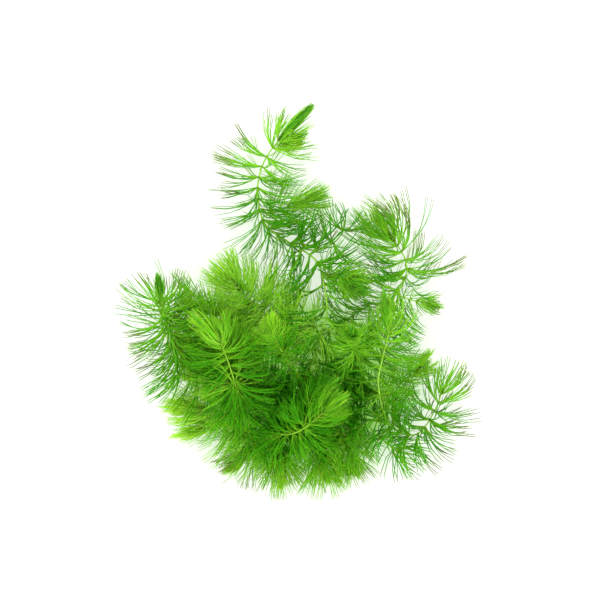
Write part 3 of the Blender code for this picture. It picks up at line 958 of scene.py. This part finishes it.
def stalk_shape(internode, count):
    """The stretches of a whole stalk, one on the other, merged and closed at both ends."""
    bpy.ops.object.select_all(action="DESELECT")
    made = internode.copy()
    made.data = internode.data.copy()
    bpy.context.scene.collection.objects.link(made)
    bpy.context.view_layer.objects.active = made
    made.select_set(True)
    stack = made.modifiers.new("stack", "ARRAY")
    stack.count = count
    stack.use_relative_offset = False
    stack.use_constant_offset = True
    stack.constant_offset_displace = (0.0, 0.0, INTERNODE)
    stack.use_merge_vertices = True
    stack.merge_threshold = 0.02 * MM
    bpy.ops.object.modifier_apply(modifier=stack.name)
    bpy.ops.object.mode_set(mode="EDIT")
    bpy.ops.mesh.select_all(action="SELECT")
    bpy.ops.mesh.fill_holes(sides=STALK_SIDES)
    bpy.ops.mesh.select_all(action="SELECT")
    bpy.ops.mesh.normals_make_consistent(inside=False)
    bpy.ops.object.mode_set(mode="OBJECT")
    return Shape(made, count * INTERNODE)


def stalk_spray(route, spec, internode):
    """The stalk along its route. Its stretches are fitted between the whorls."""
    spray = Spray()
    stops = np.array([0.0, *whorl_places(route, spec), route.length])
    stops = stops[np.concatenate([[True], np.diff(stops) > SHORTEST_INTERNODE])]
    shape = stalk_shape(internode, len(stops) - 1)
    stretch = shape.share * (len(stops) - 1)
    shape.share = np.interp(stretch, np.arange(len(stops)), stops) / route.length
    distances = np.linspace(0.0, route.length, max(8, int(route.length / STALK_STEP)))
    from_end = route.length - distances + spec["behind"] * MM
    thickness = np.interp(from_end, *STALK_GIRTH_AT)[:, None]
    sides = route.read(route.sides, distances)
    spray.add(shape, route.at(distances), sides, thickness, spec["tone_and_shade"], 0.0)
    return spray


def spindle(share):
    """A growing tip's girth at a share of its length."""
    return np.maximum(np.sin(math.pi * np.clip(share, 0, 1) ** 0.8) ** 0.9, 0.0)


def model_heart():
    """The closed heart of a growing tip, of unit height, which its young leaves lie on."""
    start_ring(HEART_SIDES, HEART_FOOT, "NGON")
    draw_up(HEART_FOOT, [(height, HEART_RADIUS * spindle(height)) for height in HEART_RINGS], 1.0)
    last = (0.0, 0.0, 1.0 - HEART_RINGS[-1])
    bpy.ops.mesh.extrude_region_move(TRANSFORM_OT_translate={"value": last})
    bpy.ops.mesh.merge(type="CENTER")
    bpy.ops.object.mode_set(mode="OBJECT")
    return bpy.context.object


def young_spray(foot, tip, spec, heart, leaf, chance):
    """A growing tip: young leaves that close over its heart or stand round it as a loose brush."""
    # The sums with loose start from a closed tip's number and say what its opening changes
    spray = Spray()
    radius = spec["tip_radius"] * MM
    loose = spec["loose"]
    axis = tip - foot
    along = axis / np.linalg.norm(axis)
    side = unit(np.cross(along, (0.2, 0.3, 0.9)))
    other = np.cross(along, side)

    def outward(angle):
        return math.cos(angle) * side + math.sin(angle) * other

    shares = np.linspace(0.0, 1.0, YOUNG_STEPS)
    spine = foot + shares[:, None] * axis
    heart_wide = np.tile(side, (YOUNG_STEPS, 1))
    heart_size = np.full((YOUNG_STEPS, 1), radius * (1 - 0.7 * loose))
    spray.add(heart, spine, heart_wide, heart_size, spec["bud"] - 0.2 + 0.2 * loose, 0.0)
    for k in range(spec["young"]):
        angle = k * YOUNG_TURN + chance.uniform(*YOUNG_TURN_RANGE)
        # Its share says how far out the leaf lies, from against the heart to the outside
        share = chance.uniform()
        reach = chance.uniform(0.72 - 0.2 * loose, 1.03) * (1 - 0.2 * loose * share)
        girth = radius * np.interp(share, (0, 1), (0.78 - 0.6 * loose, 1.05 + 0.3 * loose))
        drift = chance.normal(0.0, YOUNG_DRIFT)
        heights = shares * reach
        swirl = np.array([outward(angle + drift * height) for height in shares])
        closed = np.maximum(spindle(heights), 0.22 * (1 - shares) + 0.03)
        open_out = BRUSH_GIRTH * np.sin(BRUSH_ARCH * heights)
        rings = closed * (1 - loose) + open_out * loose
        flare = YOUNG_FLARE * chance.uniform(0, 1) ** 4 * shares**3
        path = foot + heights[:, None] * axis + swirl * (rings * girth + flare)[:, None]
        wide = np.tile(np.cross(along, outward(angle)), (YOUNG_STEPS, 1))
        tone_and_shade = spec["bud"] + chance.normal(0.0, YOUNG_FRESH_SPREAD)
        dry = YOUNG_DRYNESS * spec["dry"] * chance.uniform()
        spray.add(leaf, path, wide, np.full((YOUNG_STEPS, 1), YOUNG_SIZE), tone_and_shade, dry)
    return spray


def add_node(tree, kind, **settings):
    made = tree.nodes.new(kind)
    for name, value in settings.items():
        setattr(made, name, value)
    return made


def tissue_group():
    """Plant tissue: its green by tone and by painted light and shade, a paler foot, ends that dry
    out, and a fine grain.
    """
    group = bpy.data.node_groups.new("plant tissue", "ShaderNodeTree")
    for direction, kind, names in (
        ("INPUT", "NodeSocketFloat", ("Along", "Tone_and_shade", "Dry")),
        ("INPUT", "NodeSocketColor", ("Shaded green", "Deep green", "Middle green", "Light green")),
        ("INPUT", "NodeSocketColor", ("Foot", "Dry end")),
        ("INPUT", "NodeSocketFloat", ("Roughness",)),
        ("OUTPUT", "NodeSocketColor", ("Color",)),
        ("OUTPUT", "NodeSocketFloat", ("Roughness", "Height")),
    ):
        for name in names:
            group.interface.new_socket(name=name, in_out=direction, socket_type=kind)
    link = group.links.new
    given = add_node(group, "NodeGroupInput").outputs
    result = add_node(group, "NodeGroupOutput").inputs
    where = add_node(group, "ShaderNodeTexCoord").outputs["Object"]

    def noise(scale, detail):
        made = add_node(group, "ShaderNodeTexNoise")
        made.inputs["Scale"].default_value = scale
        made.inputs["Detail"].default_value = detail
        link(where, made.inputs["Vector"])
        return made.outputs["Fac"]

    def ranged(value, *limits):
        """The value, from between the first two limits to between the last two."""
        made = add_node(group, "ShaderNodeMapRange")
        link(value, made.inputs["Value"])
        for name, number in zip(("From Min", "From Max", "To Min", "To Max"), limits):
            made.inputs[name].default_value = number
        return made.outputs["Result"]

    def mixed(share, first, second):
        made = add_node(group, "ShaderNodeMix", data_type="RGBA")
        link(share, made.inputs[0])
        link(first, made.inputs[6])
        link(second, made.inputs[7])
        return made.outputs[2]

    def added(first, second, clamped=False):
        made = add_node(group, "ShaderNodeMath", operation="ADD", use_clamp=clamped)
        link(first, made.inputs[0])
        link(second, made.inputs[1])
        return made.outputs[0]

    patches = ranged(noise(120.0, 2.0), 0.3, 0.7, 0.0, 0.16)
    patches = added(patches, ranged(given["Along"], 0.2, 0.9, 0.0, -0.3))
    tone_and_shade = added(given["Tone_and_shade"], patches)
    # Below zero the green turns to the shaded green: painted shade for the leaves deep in the clump
    shaded = ranged(tone_and_shade, -1.0, -0.4, 0.0, 1.0)
    green = mixed(shaded, given["Shaded green"], given["Deep green"])
    green = mixed(ranged(tone_and_shade, 0.0, 0.5, 0.0, 1.0), green, given["Middle green"])
    green = mixed(ranged(tone_and_shade, 0.5, 1.0, 0.0, 1.0), green, given["Light green"])
    green = mixed(ranged(given["Along"], 0.0, 0.3, 0.55, 0.0), green, given["Foot"])
    dried = added(given["Along"], ranged(given["Dry"], 0.0, 1.2, -1.0, -0.25))
    drying = ranged(dried, 0.0, 0.32, 0.0, 0.95)
    link(mixed(drying, green, given["Dry end"]), result["Color"])
    grain = noise(2600.0, 3.0)
    rough = added(given["Roughness"], ranged(grain, 0.2, 0.8, 0.0, 0.12), clamped=True)
    link(rough, result["Roughness"])
    link(grain, result["Height"])
    return group


def tissue_material(name, group, colours, roughness, translucency):
    """A material of plant tissue, which lets some of the light through."""
    made = bpy.data.materials.new(name)
    made.use_nodes = True
    tree = made.node_tree
    shader = tree.nodes["Principled BSDF"]
    tissue = add_node(tree, "ShaderNodeGroup", node_tree=group)
    for value in ("Along", "Tone_and_shade", "Dry"):
        attribute = add_node(tree, "ShaderNodeAttribute", attribute_name=value.lower())
        tree.links.new(attribute.outputs["Fac"], tissue.inputs[value])
    for colour, tint in colours.items():
        tissue.inputs[colour].default_value = (*tint, 1.0)
    tissue.inputs["Roughness"].default_value = roughness
    bump = add_node(tree, "ShaderNodeBump")
    bump.inputs["Strength"].default_value = 0.25
    bump.inputs["Distance"].default_value = 0.05 * MM
    tree.links.new(tissue.outputs["Height"], bump.inputs["Height"])
    tree.links.new(tissue.outputs["Color"], shader.inputs["Base Color"])
    tree.links.new(tissue.outputs["Roughness"], shader.inputs["Roughness"])
    tree.links.new(bump.outputs["Normal"], shader.inputs["Normal"])
    shader.inputs["Subsurface Weight"].default_value = translucency
    shader.inputs["Subsurface Radius"].default_value = (1.1, 1.5, 0.3)
    shader.inputs["Subsurface Scale"].default_value = 1.0 * MM
    shader.inputs["IOR"].default_value = 1.4
    shader.inputs["Specular IOR Level"].default_value = 0.03
    return made


def materials():
    group = tissue_group()
    leaf = {
        "Shaded green": (0.008, 0.105, 0.001),
        "Deep green": (0.026, 0.190, 0.003),
        "Middle green": (0.146, 0.432, 0.017),
        "Light green": (0.310, 0.680, 0.050),
        "Foot": (0.190, 0.450, 0.015),
        "Dry end": (0.052, 0.048, 0.032),
    }
    old_leaf = {**leaf, "Middle green": (0.070, 0.250, 0.012)}
    young = {
        **leaf,
        "Foot": (0.120, 0.400, 0.020),
        "Deep green": (0.034, 0.220, 0.010),
        "Middle green": (0.140, 0.460, 0.012),
        "Light green": (0.330, 0.700, 0.025),
    }
    stalk = {
        **leaf,
        "Foot": (0.060, 0.240, 0.008),
        "Deep green": (0.160, 0.360, 0.020),
        "Middle green": (0.260, 0.520, 0.050),
    }
    return {
        "leaf": tissue_material("leaf", group, leaf, 0.36, 0.55),
        "old_leaf": tissue_material("old_leaf", group, old_leaf, 0.42, 0.3),
        "young_tip": tissue_material("young_tip", group, young, 0.34, 0.55),
        "stalk": tissue_material("stalk", group, stalk, 0.34, 0.4),
    }


def finish_piece(made, node):
    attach(made, "root")
    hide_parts(node)


def build_shoots():
    surfaces = materials()
    shapes = [Shape(model_leaf(name, plan), MODEL_LENGTH) for name, plan in LEAF_PLANS.items()]
    young_leaf = Shape(model_leaf("young_leaf", YOUNG_PLAN), MODEL_LENGTH)
    heart = Shape(model_heart(), 1.0)
    internode = model_internode()
    middle = np.array([*MIDDLE, 0.0])
    lines = {
        name: (np.array([*spec["route"], spec.get("tip", spec["route"][-1])]) - middle)[:, :2] * MM
        for name, spec in SHOOTS.items()
    }
    for index, (name, spec) in enumerate(SHOOTS.items()):
        spec = {**USUAL, **spec}
        chance = np.random.default_rng([SEED, index])
        route = Route((np.array(spec["route"]) - middle) * MM)
        node = name if name.endswith("stem") else name + "_shoot"
        slot = spec["slot"]
        neighbours = np.concatenate([line for other, line in lines.items() if other != name])
        leaves = leaf_whorls(route, spec, shapes, neighbours, chance)
        finish_piece(leaves.joined(name + "_leaves", surfaces[slot]), node)
        stalk = stalk_spray(route, spec, internode)
        finish_piece(stalk.joined(name + "_stalk", surfaces["stalk"]), node)
        if "tip" not in spec:
            continue
        tip = (np.array(spec["tip"]) - middle) * MM
        young = young_spray(route.at(route.length), tip, spec, heart, young_leaf, chance)
        made = young.joined(name + "_young", surfaces["young_tip"])
        finish_piece(made, name + "_tip")
    bpy.data.objects.remove(internode)


def build_floor():
    """A pale floor, painted green under the thick of the clump: a painted glow for the light
    through its leaves, and painted shade.
    """
    bpy.ops.object.select_all(action="DESELECT")
    bpy.ops.mesh.primitive_plane_add(size=6.0, location=(0.0, 0.0, -0.0002))
    floor = bpy.context.object
    floor.name = "floor"
    surface = bpy.data.materials.new("pale_floor")
    surface.use_nodes = True
    tree = surface.node_tree
    shader = tree.nodes["Principled BSDF"]
    shader.inputs["Roughness"].default_value = 0.9
    shader.inputs["Emission Strength"].default_value = 0.7
    where = add_node(tree, "ShaderNodeTexCoord")
    apart = add_node(tree, "ShaderNodeVectorMath", operation="SUBTRACT")
    tree.links.new(where.outputs["Object"], apart.inputs[0])
    apart.inputs[1].default_value = UNDERSIDE_MIDDLE
    stretched = add_node(tree, "ShaderNodeVectorMath", operation="MULTIPLY")
    tree.links.new(apart.outputs["Vector"], stretched.inputs[0])
    stretched.inputs[1].default_value = UNDERSIDE_STRETCH
    distance = add_node(tree, "ShaderNodeVectorMath", operation="LENGTH")
    tree.links.new(stretched.outputs["Vector"], distance.inputs[0])
    open_share = add_node(tree, "ShaderNodeMapRange", interpolation_type="SMOOTHSTEP")
    tree.links.new(distance.outputs["Value"], open_share.inputs["Value"])
    open_share.inputs["From Min"].default_value = UNDERSIDE_REACH[0]
    open_share.inputs["From Max"].default_value = UNDERSIDE_REACH[1]
    # Under the clump the emission colour is a painted green glow and the darker base colour painted
    # shade; farther out both turn pale, and the bare emission keeps a faint painted green
    for socket, under, bare in (
        ("Emission Color", (0.32, 0.68, 0.14), (0.88, 1.0, 0.80)),
        ("Base Color", (0.08, 0.21, 0.04), (0.28, 0.28, 0.28)),
    ):
        colour = add_node(tree, "ShaderNodeMix", data_type="RGBA")
        tree.links.new(open_share.outputs["Result"], colour.inputs[0])
        colour.inputs[6].default_value = (*under, 1.0)
        colour.inputs[7].default_value = (*bare, 1.0)
        tree.links.new(colour.outputs[2], shader.inputs[socket])
    floor.data.materials.append(surface)


def add_light(name, place, size, power):
    """A square lamp that faces the clump."""
    data = bpy.data.lights.new(name, "AREA")
    data.size = size
    data.energy = power
    light = bpy.data.objects.new(name, data)
    light.location = place
    light.rotation_mode = "QUATERNION"
    light.rotation_quaternion = Vector(place).to_track_quat("Z", "Y")
    bpy.context.scene.collection.objects.link(light)


def build_lights():
    add_light("key_light", (-0.35, 0.45, 0.80), 0.5, 4.0)
    add_light("fill_light", (0.60, -0.30, 0.60), 0.6, 2.0)
    world = bpy.data.worlds.new("pale_room")
    world.use_nodes = True
    background = world.node_tree.nodes["Background"]
    background.inputs["Color"].default_value = (1.0, 1.0, 1.0, 1.0)
    background.inputs["Strength"].default_value = 1.9
    bpy.context.scene.world = world
    bpy.context.scene.view_settings.view_transform = "Standard"


def build_camera():
    data = bpy.data.cameras.new("camera")
    data.lens = LENS
    data.sensor_width = SENSOR
    data.clip_start = 0.01
    data.clip_end = 20.0
    camera = bpy.data.objects.new("camera", data)
    distance = PICTURE_WIDTH * PIXEL * LENS / SENSOR
    camera.location = (*CAMERA_PLACE, CLUMP_MIDDLE_HEIGHT + distance)
    bpy.context.scene.collection.objects.link(camera)
    bpy.context.scene.camera = camera


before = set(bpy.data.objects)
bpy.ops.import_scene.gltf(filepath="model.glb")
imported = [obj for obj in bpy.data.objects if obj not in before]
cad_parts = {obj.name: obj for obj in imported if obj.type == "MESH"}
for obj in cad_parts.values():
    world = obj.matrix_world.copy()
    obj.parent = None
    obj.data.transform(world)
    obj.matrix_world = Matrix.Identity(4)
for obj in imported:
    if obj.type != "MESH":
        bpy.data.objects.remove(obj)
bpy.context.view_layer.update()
build_camera()
build_floor()
build_lights()
build_shoots()
